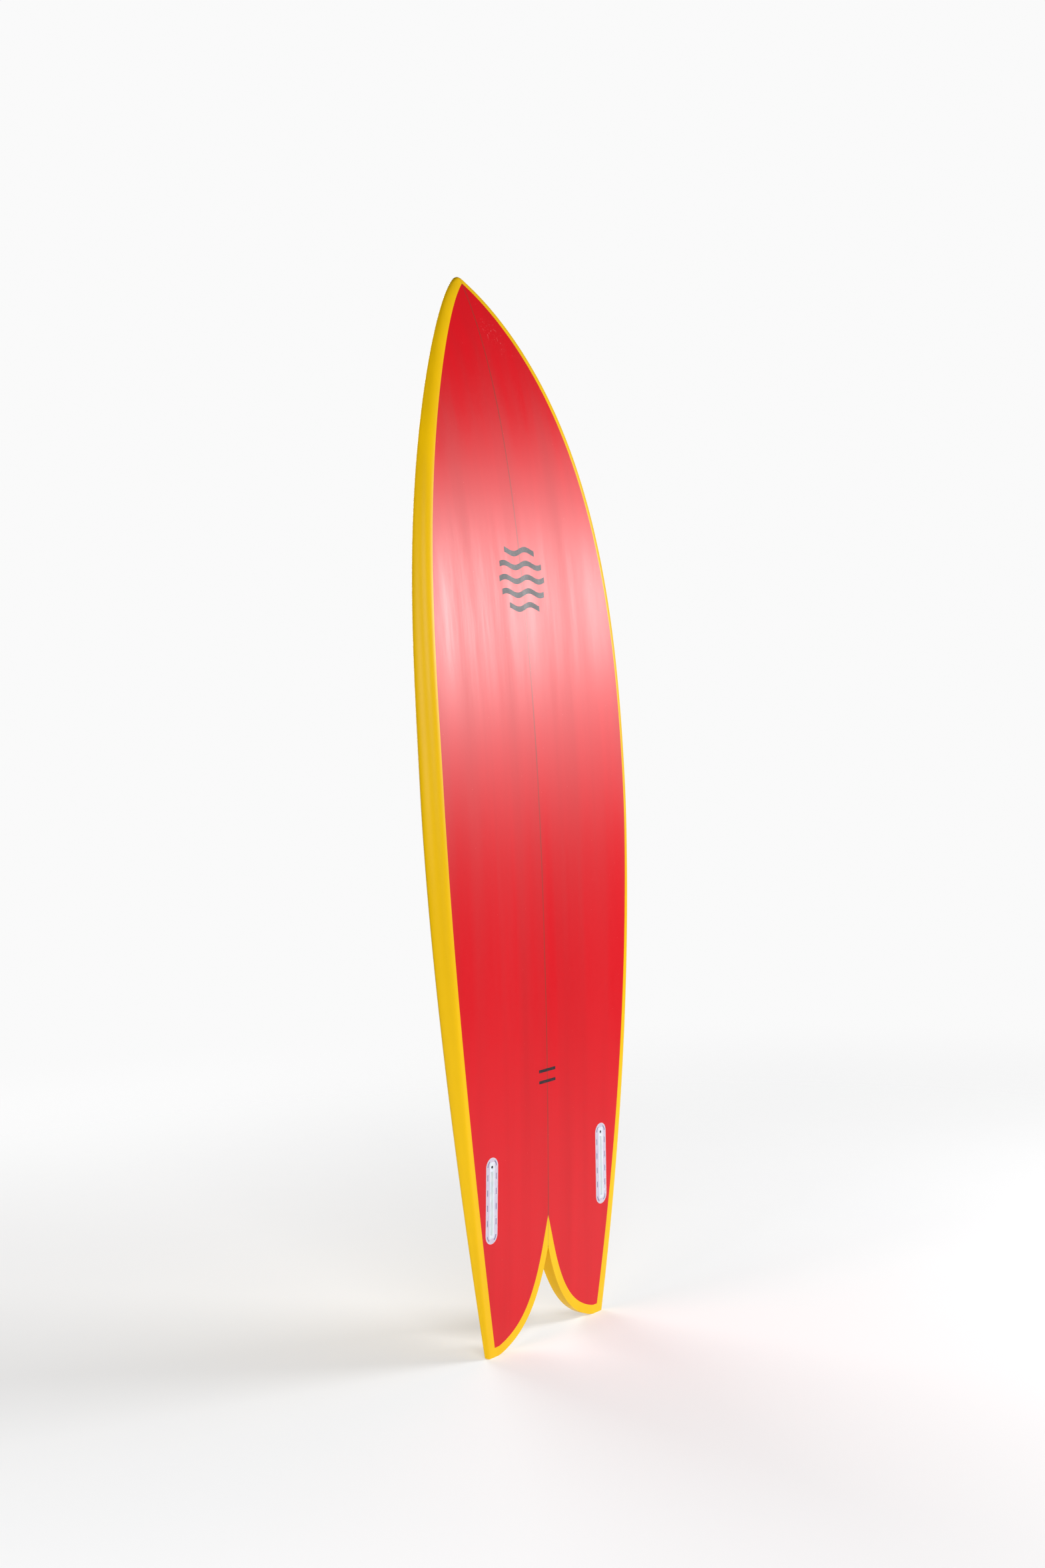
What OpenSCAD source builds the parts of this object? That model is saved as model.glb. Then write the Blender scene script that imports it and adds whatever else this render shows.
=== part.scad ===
// Twin-fin fish surfboard, standing on its two tail tips.
// +Z runs from the tail to the nose, +X across the board, +Y from the bottom to the deck.
// A foam blank in two halves is glued to a wooden stringer and wrapped in tinted glass and
// resin. Two fin boxes and a leash plug are bedded in resin in pockets cut into the blank.

/* [Outline] */
// Length from the tail tips to the nose
board_l = 1727; // [1650:1:1830]
// Greatest width
board_w = 520.7; // [490:0.1:560]
// Share of the length from the tail to the widest place
wide_share = 0.519; // [0.49:0.001:0.55]
// Width over the rails at the tail tips
tail_w = 316; // [290:1:330]
// Depth of the swallow notch from the tips to its apex
notch_d = 146.5; // [120:0.5:165]
// Half-width of the notch where it meets the flat of each tail tip
notch_x = 130; // [115:1:138]
// Corner radius at the outside of each tail tip
tip_r = 8; // [4:0.5:10]

/* [Profile] */
// Thickness at mid length
board_t = 63.5; // [57:0.1:70]
// Thickness at the nose
nose_t = 12; // [8:0.5:16]
// Thickness on the centre line at the tail tips
tail_t = 12; // [10:0.5:16]
// Rise of the bottom at the nose
nose_rocker = 123; // [100:1:140]
// Rise of the bottom at the tail tips
tail_rocker = 25; // [15:1:50]
// Height of the rail's edge, as a share of the thickness
rail_share = 0.4; // [0.3:0.01:0.5]
// Width of the rounded lower rail at mid length
rail_mid = 20; // [12:1:28]
// Width of the rounded lower rail at the tail
rail_tail = 7.5; // [4:0.5:12]

/* [Laminates] */
// Thickness of the tinted glass on the bottom
bottom_glass_t = 0.75; // [0.6:0.05:0.75]
// Thickness of the outer glass layer on the deck and rails
deck_glass_t = 0.45; // [0.3:0.05:0.45]
// Glue line between two layers
glue_t = 0.05; // [0.02:0.01:0.08]
// Width from the rail's edge to the cut lap on the bottom
lap_w = 21; // [16:0.5:26]
// Width of the lap along the notch
notch_lap_w = 15; // [12:0.5:20]
// Thickness of the wooden stringer
stringer_t = 3; // [2:0.5:5]

/* [Fin boxes] */
// Length of a fin box's flange
box_l = 135.6; // [130:0.1:142]
// Width of a fin box's flange
box_w = 28; // [24:0.5:30]
// Depth of a fin box
box_d = 17; // [15:0.5:18]
// Distance from the centre line to the middle of a fin box
box_x = 148.6; // [140:0.1:152]
// Height of the middle of a fin box above the tail tips
box_z = 253.4; // [245:0.1:270]
// Toe-in of a fin box, in degrees
box_toe = 1.27; // [0:0.01:3]
// Width of the fin slot
slot_w = 6.4; // [6:0.1:7]
// Length of the fin slot
slot_l = 101.8; // [95:0.1:106]
// Depth of the fin slot
slot_d = 14; // [12:0.5:14.5]
// Radius of the grub screw's hole
screw_hole_r = 2.5; // [2.2:0.1:2.8]

/* [Leash plug] */
// Height of the leash plug above the tail tips
plug_z = 250; // [230:1:300]
// Radius of the leash plug's flange
plug_flange_r = 15; // [14.5:0.1:16]
// Outer radius of the leash plug's cup
plug_cup_r = 13.5; // [13:0.1:14]
// Radius of the hollow in the cup
plug_hollow_r = 11; // [10:0.1:11.5]
// Depth of the cup
plug_d = 17; // [15:0.5:18]

/* [Marks] */
// Height of the middle of the wave mark above the tail tips
mark_z = 1230; // [1180:1:1280]
// Width of the wave mark
mark_w = 118; // [90:1:130]
// Height of the middle of the small bar mark above the tail tips
bars_z = 428; // [400:1:460]

/* [Hidden] */
$fn = 48;
far = 400;                              // reaches past the board on every side
low_z = 0.45 * board_l;                 // height of the bottom's lowest place
wide_z = wide_share * board_l;
nose_gap = 0.4;                         // the last section stands this far short of the nose
half_w = board_w / 2;
tail_half_w = tail_w / 2;
ply_in = deck_glass_t + glue_t;         // depth of the inner deck layer's outside
skin_in = bottom_glass_t;               // depth of the glass's inside
core_in = skin_in + glue_t;             // depth of the foam's surface

// Curves of the board, each along its length
function side_x(z) = z < wide_z
    ? half_w - (half_w - tail_half_w) * pow((wide_z - z) / wide_z, 1.733)
    : half_w * pow(1 - pow((z - wide_z) / (board_l - wide_z), 2.845), 0.783);
function rise(z) = let(u = (z - low_z) / (board_l - low_z)) z < low_z
    ? tail_rocker * pow(1 - z / low_z, 2.017)
    : nose_rocker * (0.633 * pow(u, 2) + 0.367 * pow(u, 6.73));
function thick(z) = let(u = 2 * z / board_l - 1) u < 0
    ? board_t - (board_t - tail_t) * pow(-u, 1.575)
    : board_t - (board_t - nose_t) * pow(u, 2.035);
function rail_w(z) = rail_tail + (rail_mid - rail_tail) * min(1, z / low_z);

// Heights of the sections, closer together towards the nose
station_count = 36;
stations = [for (k = [0 : station_count])
    (board_l - nose_gap) * (1 - pow(1 - k / station_count, 1.6))];
raw_low = min([for (z = stations) rise(z)]);
raw_high = max([for (z = stations) rise(z) + thick(z)]);
mid_y = (raw_low + raw_high) / 2;
side_line = [for (z = stations) [z, side_x(z)]];
bottom_line = [for (z = stations) [z, rise(z) - mid_y]];
thick_line = [for (z = stations) [z, thick(z)]];

deck_power = 2.38;                      // how full the deck is across
// Half of a section at height z, inset from the outside, from the bottom to the deck
rail_turns = [0, 25, 48, 70, 90];       // round the lower rail
deck_turns = [10, 22, 36, 52, 70, 90];  // from the rail's edge over the deck
function half_section(z, inset, inner_x) =
    let(edge_x = lookup(z, side_line) - inset, y = lookup(z, bottom_line), t = lookup(z, thick_line),
        edge_y = y + rail_share * t, low_y = y + inset, top_y = y + t - inset,
        r = min(rail_w(z), 0.8 * (edge_x - inner_x)))
    concat([[inner_x, low_y, z]],
        [for (a = rail_turns) [edge_x - r + r * sin(a), edge_y - (edge_y - low_y) * cos(a), z]],
        [for (a = deck_turns)
            [max(inner_x, edge_x * pow(cos(a), 2 / deck_power)), edge_y + (top_y - edge_y) * sin(a), z]]);

// A closed solid through rings of points, all with the same number of points
module rings(ring_list) {
    n = len(ring_list[0]);
    last = len(ring_list) - 1;
    walls = [for (k = [0 : last - 1], i = [0 : n - 1])
        let(a = k * n + i, b = k * n + (i + 1) % n) each [[b, a, b + n], [b + n, a, a + n]]];
    polyhedron(
        points = [for (r = ring_list) each r],
        faces = concat(walls, [[for (i = [0 : n - 1]) i], [for (i = [n - 1 : -1 : 0]) last * n + i]]));
}

// Heights of an inset solid's sections: it starts below the tips and ends short of the nose
function inset_stations(inset) =
    concat([-5], [for (z = stations) if (z < board_l - 3) z], [board_l - nose_gap - 2.5 * inset]);

// The whole board inset from its outside, before the notch is cut
module uncut_board(inset)
    rings([for (z = inset_stations(inset))
        let(half = half_section(z, inset, 0), last = len(half) - 1)
        concat([for (k = [1 : last]) half[k]],
            [for (k = [last - 1 : -1 : 1]) [-half[k].x, half[k].y, half[k].z]])]);

// The notch's edge from its apex to the outside of a tail tip, moved into the board by an inset
notch_steps = 22;
function notch_z(x) = let(u = min(1, x / notch_x)) notch_d * pow(1 - u, 2.94 - 1.36 * u);
function notch_slope(x) = (notch_z(x + 0.01) - notch_z(x)) / 0.01;
function tail_edge(inset) =
    let(corner = [lookup(tip_r, side_line) - tip_r, tip_r],
        curve = [for (k = [0 : notch_steps])
            let(x = notch_x * pow(k / notch_steps, 1.3), s = notch_slope(x), c = sqrt(1 + s * s))
            [x - inset * s / c, notch_z(x) + inset / c]],
        apex = [0, curve[0].y - notch_slope(0) * curve[0].x])
    concat(inset > 0 ? [apex] : [], curve,
        [for (a = [-90 : 15 : 0]) corner + (tip_r - inset) * [cos(a), sin(a)]]);
function both_sides(half) =
    concat([for (k = [len(half) - 1 : -1 : 0]) [-half[k].x, half[k].y]], [for (p = half) if (p.x > 0) p]);

// Extrusions of an outline drawn in plan (x, z), and of a profile drawn from the side (z, y)
module from_plan(low_y, high_y)
    rotate([90, 0, 0]) translate([0, 0, -high_y]) linear_extrude(high_y - low_y) children();
module from_side(width)
    rotate([0, -90, 0]) linear_extrude(width, center = true) children();

module below_tail(inset)
    from_plan(-far, far)
    let(edge = tail_edge(inset), last = edge[len(edge) - 1])
    polygon(concat([[-far, -far], [-far, last.y]], both_sides(edge), [[far, last.y], [far, -far]]));

module board(inset)
    difference() {
        uncut_board(inset);
        below_tail(inset);
    }

// A layer that follows the bottom between two depths
module bottom_layer(shallow, deep)
    from_side(2 * far)
    polygon(concat([for (p = bottom_line) [p.x, p.y + shallow]],
        [for (k = [station_count : -1 : 0]) [bottom_line[k].x, bottom_line[k].y + deep]]));

// The cut lap's outline on the bottom
lap_steps = 40;
lap_apex_z = wide_z + (board_l - wide_z) * pow(1 - pow(lap_w / half_w, 1 / 0.783), 1 / 2.845);
function lap_x(z) = side_x(z) - lap_w;
function lap_outline(inset) =
    let(corner = [lap_x(notch_lap_w + inset) - inset, notch_lap_w + inset],
        edge = tail_edge(notch_lap_w + inset), top_z = lap_apex_z - 2 * inset)
    concat([for (p = edge) if (p.x < corner.x - 1 && p.y > corner.y) p], [corner],
        [for (k = [1 : lap_steps - 1])
            let(z = corner.y + (top_z - corner.y) * (1 - pow(1 - k / lap_steps, 1.4)))
            [lap_x(z) - inset, z]],
        [[0, top_z]]);
module lap_window(inset) from_plan(-far, far) polygon(both_sides(lap_outline(inset)));

// Places a fin box's own frame: y = 0 is its flange, +Z runs along it towards the nose
box_slope = (rise(box_z + 1) - rise(box_z - 1)) / 2;
module at_fin_box(side)
    mirror([side < 0 ? 1 : 0, 0, 0])
    translate([box_x, rise(box_z) - mid_y, box_z])
    rotate([-atan(box_slope), -box_toe, 0])
    children();

// An obround plate or a block in a fin box's frame
module obround(length, width, low_y, high_y)
    from_plan(low_y, high_y) {
        for (end = [-1, 1]) translate([0, end * (length - width) / 2]) circle(d = width);
        square([width, length - width], center = true);
    }
module block(width, low_y, high_y, low_z, high_z)
    translate([-width / 2, low_y, low_z]) cube([width, high_y - low_y, high_z - low_z]);

// Sizes inside a fin box, in its own frame
bed_t = 1;                              // resin round a fin box or a leash plug
flange_t = 2;                           // flange of a fin box or a leash plug
body_w = 13;
body_low_z = 8 - box_l / 2;
body_high_z = box_l / 2 - 6;
seat_proud = 0.2;                       // height of the raised seat above the flange
slot_low_z = 12.8 - box_l / 2;
screw_z = box_l / 2 - 14;
screw_hole_d = 13;
screw_r = screw_hole_r - 0.05;
screw_l = 10;
screw_depth = 0.6;                      // from the flange to the top of the screw
hex_d = 2.9;
hex_depth = 3;
lug_pocket_y = 9;                       // top of the pocket under the screw for the fin's lug

module box_shape(grow, top_y) {
    obround(box_l + 2 * grow, box_w + 2 * grow, top_y, flange_t + grow);
    block(body_w + 2 * grow, flange_t / 2, box_d + grow, body_low_z - grow, body_high_z + grow);
}
module box_pocket(side) at_fin_box(side) box_shape(bed_t, -3);
module fin_box(side)
    color("white") at_fin_box(side) difference() {
        union() {
            box_shape(0, 0);
            block(body_w - 0.5, -seat_proud, flange_t / 2, body_low_z, body_high_z);
        }
        block(slot_w, -5, slot_d, slot_low_z, slot_low_z + slot_l);
        block(slot_w, lug_pocket_y, slot_d, slot_low_z, screw_z + screw_hole_r);
        translate([0, -5, screw_z]) rotate([-90, 0, 0]) cylinder(r = screw_hole_r, h = screw_hole_d + 5);
    }
module fin_box_bed(side)
    color("pink") at_fin_box(side) difference() {
        box_shape(bed_t, 0);
        box_shape(0, -1);
    }
module fin_screw(side)
    color("dimgray") at_fin_box(side)
    translate([0, screw_depth, screw_z]) rotate([-90, 0, 0]) difference() {
        cylinder(r = screw_r, h = screw_l);
        translate([0, 0, -1]) cylinder(d = hex_d, h = hex_depth + 1, $fn = 6);
    }

// Places the leash plug's own frame: z = 0 is its flange and +Z points into the board
function deck_y(z) = rise(z) + thick(z) - mid_y;
plug_slope = (deck_y(plug_z + 5) - deck_y(plug_z - 5)) / 10;
plug_floor_t = 2;
pin_r = 2;
pin_depth = 5;
pin_l = 2 * plug_hollow_r + 3.6;
pin_gap = 0.05;
module at_plug()
    translate([0, deck_y(plug_z), plug_z]) rotate([90 - atan(plug_slope), 0, 0]) children();
module plug_shape(grow, top_z) {
    translate([0, 0, top_z]) cylinder(r = plug_flange_r + grow, h = flange_t + grow - top_z);
    cylinder(r = plug_cup_r + grow, h = plug_d + grow);
}
module plug_pocket() at_plug() plug_shape(bed_t, -3);
module pin(r, length)
    translate([0, 0, pin_depth]) rotate([0, 90, 0]) cylinder(r = r, h = length, center = true);

// The blank: each half's rings run the same way round as the whole board's, so the facets match
module foam_core(side)
    color("ivory") difference() {
        rings([for (z = inset_stations(core_in))
            let(half = half_section(z, core_in, stringer_t / 2 + glue_t), last = len(half) - 1)
            side > 0 ? half : [for (k = [last : -1 : 0]) [-half[k].x, half[k].y, half[k].z]]]);
        below_tail(core_in);
        box_pocket(side);
        plug_pocket();
    }
module foam_core_port() foam_core(-1);
module foam_core_starboard() foam_core(1);
module stringer()
    color("tan") difference() {
        from_side(stringer_t)
        let(heights = inset_stations(core_in), last = len(heights) - 1)
        polygon(concat(
            [for (z = heights) [z, lookup(z, bottom_line) + core_in]],
            [for (k = [last : -1 : 0])
                let(z = heights[k]) [z, lookup(z, bottom_line) + lookup(z, thick_line) - core_in]]));
        below_tail(core_in);
        plug_pocket();
    }

// The glass
module bottom_laminate()
    color("crimson") difference() {
        intersection() {
            bottom_layer(0, bottom_glass_t);
            lap_window(glue_t);
        }
        box_pocket(-1);
        box_pocket(1);
    }
module glass_layer(shallow, deep)
    difference() {
        board(shallow);
        board(deep);
        intersection() {
            bottom_layer(-nose_t, nose_t / 3);
            lap_window(0);
        }
        plug_pocket();
    }
module deck_inner_ply() color("khaki") glass_layer(ply_in, skin_in);
module deck_laminate() color("gold") glass_layer(0, deck_glass_t);

// Fittings
module fin_box_port() fin_box(-1);
module fin_box_starboard() fin_box(1);
module fin_box_bed_port() fin_box_bed(-1);
module fin_box_bed_starboard() fin_box_bed(1);
module fin_screw_port() fin_screw(-1);
module fin_screw_starboard() fin_screw(1);
module leash_plug_cup()
    color("white") at_plug() difference() {
        plug_shape(0, 0);
        translate([0, 0, -1]) cylinder(r = plug_hollow_r, h = plug_d - plug_floor_t + 1);
        pin(pin_r + pin_gap, pin_l);
    }
module leash_plug_bed()
    color("lightyellow") at_plug() difference() {
        plug_shape(bed_t, 0);
        plug_shape(0, -1);
    }
module leash_pin() color("silver") at_plug() pin(pin_r, pin_l);

// Tissue marks under the finish: wavy bars in a round shape, and two plain bars
mark_t = 0.1;
wave_count = 5;
wave_steps = 28;
wave_pitch = mark_w / (wave_count + 0.3);
module wave_bar(z)
    let(half_l = sqrt(pow(mark_w / 2, 2) - z * z), swell = wave_pitch / 6, half_t = wave_pitch / 5)
    polygon([for (edge = [-1, 1], k = [0 : wave_steps])
        let(x = -edge * half_l * (1 - 2 * k / wave_steps))
        [x, z + swell * sin(720 * x / mark_w) + edge * half_t]]);
module wave_mark()
    color("slategray") intersection() {
        bottom_layer(-mark_t, -mark_t / 10);
        from_plan(-far, far)
        for (k = [0 : wave_count - 1])
            translate([0, mark_z]) wave_bar((k - (wave_count - 1) / 2) * wave_pitch);
    }
module bar_mark()
    color("black") intersection() {
        bottom_layer(-mark_t, -mark_t / 10);
        from_plan(-far, far)
        for (end = [-1, 1]) translate([0, bars_z + 9 * end]) square([44, 5], center = true);
    }

foam_core_port();
foam_core_starboard();
stringer();
bottom_laminate();
deck_inner_ply();
deck_laminate();
fin_box_port();
fin_box_starboard();
fin_box_bed_port();
fin_box_bed_starboard();
fin_screw_port();
fin_screw_starboard();
leash_plug_cup();
leash_plug_bed();
leash_pin();
wave_mark();
bar_mark();
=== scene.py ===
"""Looks of a twin-fin fish surfboard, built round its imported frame.

Metres. The board stands on its tail tips: +Z runs to the nose, +X across, +Y from the bottom to the deck.
"""

import math

import bmesh
import bpy
from mathutils import Matrix, Vector

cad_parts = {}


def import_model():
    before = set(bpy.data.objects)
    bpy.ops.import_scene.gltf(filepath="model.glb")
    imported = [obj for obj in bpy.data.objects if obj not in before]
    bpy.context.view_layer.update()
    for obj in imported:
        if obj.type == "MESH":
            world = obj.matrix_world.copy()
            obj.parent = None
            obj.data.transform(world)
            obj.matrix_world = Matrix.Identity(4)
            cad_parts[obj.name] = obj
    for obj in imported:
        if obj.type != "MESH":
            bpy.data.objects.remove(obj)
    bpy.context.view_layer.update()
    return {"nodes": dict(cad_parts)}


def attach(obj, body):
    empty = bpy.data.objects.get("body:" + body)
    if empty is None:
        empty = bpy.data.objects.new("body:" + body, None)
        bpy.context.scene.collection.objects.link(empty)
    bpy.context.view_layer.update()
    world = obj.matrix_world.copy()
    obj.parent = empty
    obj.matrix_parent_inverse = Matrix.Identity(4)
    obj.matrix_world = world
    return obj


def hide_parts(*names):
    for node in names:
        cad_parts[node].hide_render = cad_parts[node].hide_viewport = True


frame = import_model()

MM = 0.001
SIDES = {"port": -1, "starboard": 1}

# ---------------------------------------------------------------- the board's own dimensions
LENGTH = 1.727
HALF_W = 0.26035
TAIL_HALF_W = 0.158
WIDE_Z = 0.519 * LENGTH
LOW_Z = 0.45 * LENGTH
MID_T, NOSE_T, TAIL_T = 0.0635, 0.012, 0.012
NOSE_ROCKER, TAIL_ROCKER = 0.123, 0.025
RAIL_SHARE = 0.4
RAIL_MID, RAIL_TAIL = 0.020, 0.0075
DECK_POWER = 2.38
NOSE_GAP = 0.0004
NOSE_CAP = 0.0045               # length over which the nose's thickness is rounded off
TIP_R = 0.008
NOTCH_D, NOTCH_X = 0.1465, 0.130
LAP_W, NOTCH_LAP_W = 0.021, 0.015
BOTTOM_GLASS_T, DECK_GLASS_T, GLUE_T = 0.00075, 0.00045, 0.00005
FAR = 0.4                       # reaches past the board on every side
CUT_OVER = 0.005                # how far a cutter starts outside the surface that it cuts
POCKET_OVER = 0.003
SMALL_STEP = 1e-5               # the step that slopes are measured over

# powers of the board's curves
TAIL_CURVE = 1.733
NOSE_CURVE, NOSE_FULLNESS = 2.845, 0.783
TAIL_ROCKER_CURVE = 2.017
FLIP_SHARE, FLIP_CURVE = 0.367, 6.73    # the share of the nose's rocker that comes late, at the very nose
TAIL_THINNING, NOSE_THINNING = 1.575, 2.035
NOTCH_CURVE, NOTCH_FLATTENING = 2.94, 1.36

BOX_L, BOX_W, BOX_D = 0.1356, 0.028, 0.017
BOX_X, BOX_Z = 0.1486, 0.2534
BOX_TOE = math.radians(1.27)
BOX_BODY_W = 0.013
BOX_BODY_LOW, BOX_BODY_HIGH = 0.008 - BOX_L / 2, BOX_L / 2 - 0.006
BED_T = 0.001
FLANGE_T = 0.002
SEAT_PROUD = 0.0002
SLOT_W, SLOT_L, SLOT_D = 0.0064, 0.1018, 0.014
SLOT_LOW = 0.0128 - BOX_L / 2
LUG_POCKET_Y = 0.009
SCREW_Z = BOX_L / 2 - 0.014
SCREW_HOLE_R, SCREW_HOLE_D = 0.0025, 0.013
SCREW_R, SCREW_L, SCREW_DEPTH = 0.00245, 0.010, 0.0006
HEX_D, HEX_DEPTH = 0.0029, 0.003

PLUG_Z = 0.250
PLUG_FLANGE_R, PLUG_CUP_R, PLUG_HOLLOW_R = 0.015, 0.0135, 0.011
PLUG_D, PLUG_FLOOR_T = 0.017, 0.002
PIN_R, PIN_DEPTH = 0.002, 0.005
PIN_L = 2 * PLUG_HOLLOW_R + 0.0036


def half_width(z):
    """Half the board's width at height z."""
    if z < WIDE_Z:
        return HALF_W - (HALF_W - TAIL_HALF_W) * ((WIDE_Z - z) / WIDE_Z) ** TAIL_CURVE
    u = (z - WIDE_Z) / (LENGTH - WIDE_Z)
    return HALF_W * max(0, 1 - u**NOSE_CURVE) ** NOSE_FULLNESS


def rise(z):
    """How far the bottom curves up towards the deck at height z."""
    if z < LOW_Z:
        return TAIL_ROCKER * (1 - z / LOW_Z) ** TAIL_ROCKER_CURVE
    u = (z - LOW_Z) / (LENGTH - LOW_Z)
    return NOSE_ROCKER * ((1 - FLIP_SHARE) * u**2 + FLIP_SHARE * u**FLIP_CURVE)


def thickness(z):
    """Thickness on the centre line."""
    u = 2 * z / LENGTH - 1
    if u < 0:
        return MID_T - (MID_T - TAIL_T) * (-u) ** TAIL_THINNING
    return MID_T - (MID_T - NOSE_T) * u**NOSE_THINNING


TOP_Z = LENGTH - NOSE_GAP
MID_Y = (rise(TOP_Z) + thickness(TOP_Z)) / 2


def bottom_y(z):
    """Where the bottom's centre line lies at height z."""
    return rise(z) - MID_Y


def notch_z(x):
    """The notch's edge: its height at a distance x from the centre line."""
    u = min(1, x / NOTCH_X)
    return NOTCH_D * (1 - u) ** (NOTCH_CURVE - NOTCH_FLATTENING * u)


# ---------------------------------------------------------------- mesh tools
def new_object(name, bm):
    """A mesh object in the scene from a bmesh."""
    bmesh.ops.recalc_face_normals(bm, faces=bm.faces)
    mesh = bpy.data.meshes.new(name)
    bm.to_mesh(mesh)
    bm.free()
    obj = bpy.data.objects.new(name, mesh)
    bpy.context.scene.collection.objects.link(obj)
    return obj


def loft(name, rings):
    """A closed solid through rings of points, all with the same number of points."""
    bm = bmesh.new()
    rows = [[bm.verts.new(p) for p in ring] for ring in rings]
    count = len(rings[0])
    for low, high in zip(rows, rows[1:]):
        for i in range(count):
            j = (i + 1) % count
            bm.faces.new((low[i], low[j], high[j], high[i]))
    bm.faces.new(rows[0])
    bm.faces.new(rows[-1])
    return new_object(name, bm)


def prism(name, outline, low_y, high_y):
    """An outline drawn in plan (x, z), extruded along Y."""
    return loft(name, [[(x, y, z) for x, z in outline] for y in (low_y, high_y)])


def with_modifier(obj, kind, **settings):
    """Applies one modifier to an object."""
    modifier = obj.modifiers.new(kind, kind)
    for key, value in settings.items():
        setattr(modifier, key, value)
    bpy.context.view_layer.update()
    shown = obj.evaluated_get(bpy.context.evaluated_depsgraph_get())
    made = bpy.data.meshes.new_from_object(shown)
    old = obj.data
    obj.modifiers.clear()
    obj.data = made
    bpy.data.meshes.remove(old)
    return obj


def combine(obj, cutter, operation="DIFFERENCE", solver="MANIFOLD"):
    """Cuts, joins or intersects obj with another object, which is then removed."""
    with_modifier(obj, "BOOLEAN", operation=operation, solver=solver, object=cutter)
    bpy.data.objects.remove(cutter)
    return obj


def shade(obj, angle=35):
    """Smooth shading that breaks at edges sharper than an angle in degrees."""
    bm = bmesh.new()
    bm.from_mesh(obj.data)
    bmesh.ops.remove_doubles(bm, verts=bm.verts, dist=1e-7)
    limit = math.radians(angle)
    for face in bm.faces:
        face.smooth = True
    for edge in bm.edges:
        edge.smooth = edge.is_manifold and edge.calc_face_angle() < limit
    bm.to_mesh(obj.data)
    bm.free()
    return obj


def place(obj, matrix):
    """Moves an object's mesh by a matrix, and turns its faces back outwards if the matrix mirrors it."""
    obj.data.transform(matrix)
    if matrix.determinant() < 0:
        obj.data.flip_normals()
    obj.data.update()
    return obj


def finish_piece(obj, body, materials, replaced=()):
    """Gives a piece its materials and body, and hides the CAD nodes that it stands for."""
    obj.data.materials.clear()
    for material in materials:
        obj.data.materials.append(material)
    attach(obj, body)
    if replaced:
        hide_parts(*replaced)
    return obj


# ---------------------------------------------------------------- shapes of the board
RAIL_STEPS, DECK_STEPS, FLAT_STEPS = 12, 26, 6
HEIGHTS_CROWD, LAP_CROWDS = 1.6, 1.4    # how much closer the steps lie at the nose
LAYER_ENDS = 2.5                # an inset layer ends this many insets below the nose


def section(z, inset):
    """One closed section of the board at height z, inset from its outside."""
    at = min(max(z, 0), TOP_Z)
    edge_x = max(half_width(at) - inset, 1e-5)
    t, y = thickness(at), bottom_y(at)
    edge_y, low_y, top_y = y + RAIL_SHARE * t, y + inset, y + t - inset
    r = min(RAIL_TAIL + (RAIL_MID - RAIL_TAIL) * min(1, at / LOW_Z), 0.8 * edge_x)
    half = [((edge_x - r) * k / FLAT_STEPS, low_y) for k in range(FLAT_STEPS)]
    for k in range(RAIL_STEPS):
        a = k / RAIL_STEPS * math.pi / 2
        half.append((edge_x - r + r * math.sin(a), edge_y - (edge_y - low_y) * math.cos(a)))
    for k in range(DECK_STEPS + 1):
        a = k / DECK_STEPS * math.pi / 2
        x = edge_x * max(0, math.cos(a)) ** (2 / DECK_POWER)
        half.append((x, edge_y + (top_y - edge_y) * math.sin(a)))
    half[-1] = (0, top_y)
    u = max(0, (z - (LENGTH - NOSE_CAP)) / NOSE_CAP)
    squeeze, mid = math.sqrt(max(0, 1 - u * u)), y + t / 2
    half = [(x, mid + (y1 - mid) * squeeze) for x, y1 in half]
    ring = half + [(-x, y1) for x, y1 in reversed(half[1:-1])]
    return [(x, y1, z) for x, y1 in ring]


def uncut_board(name, inset, count):
    """The whole board without its notch and tips, inset from its outside."""
    top_z = TOP_Z - LAYER_ENDS * inset
    heights = [-CUT_OVER]
    for k in range(count + 1):
        heights.append(top_z * (1 - (1 - k / count) ** HEIGHTS_CROWD))
    return loft(name, [section(z, inset) for z in heights])


def tail_edge(inset, steps=64):
    """The tail's edge in plan, from the notch's apex to the outside of a tip, inset into the board."""
    corner = (half_width(TIP_R) - TIP_R, TIP_R)
    curve = []
    for k in range(steps + 1):
        x = NOTCH_X * (k / steps) ** 1.3
        slope = (notch_z(x + SMALL_STEP) - notch_z(x)) / SMALL_STEP
        length = math.hypot(1, slope)
        curve.append((x - inset * slope / length, notch_z(x) + inset / length))
    r = TIP_R - inset
    angles = [math.radians(degrees) for degrees in range(-90, 1, 6)]
    arc = [(corner[0] + r * math.cos(a), corner[1] + r * math.sin(a)) for a in angles]
    apex_slope = (notch_z(SMALL_STEP) - notch_z(0)) / SMALL_STEP
    apex = [(0, curve[0][1] - apex_slope * curve[0][0])] if inset > 0 else []
    return apex + curve + arc


def both_sides(half):
    """An outline mirrored about the centre line, from port to starboard."""
    return [(-x, z) for x, z in reversed(half)] + [(x, z) for x, z in half if x > 0]


def below_tail(inset):
    """What is cut off below the tail's edge."""
    edge = tail_edge(inset)
    end_z = edge[-1][1]
    outline = [(-FAR, -FAR), (-FAR, end_z), *both_sides(edge), (FAR, end_z), (FAR, -FAR)]
    return prism("below_tail", outline, -FAR, FAR)


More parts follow.
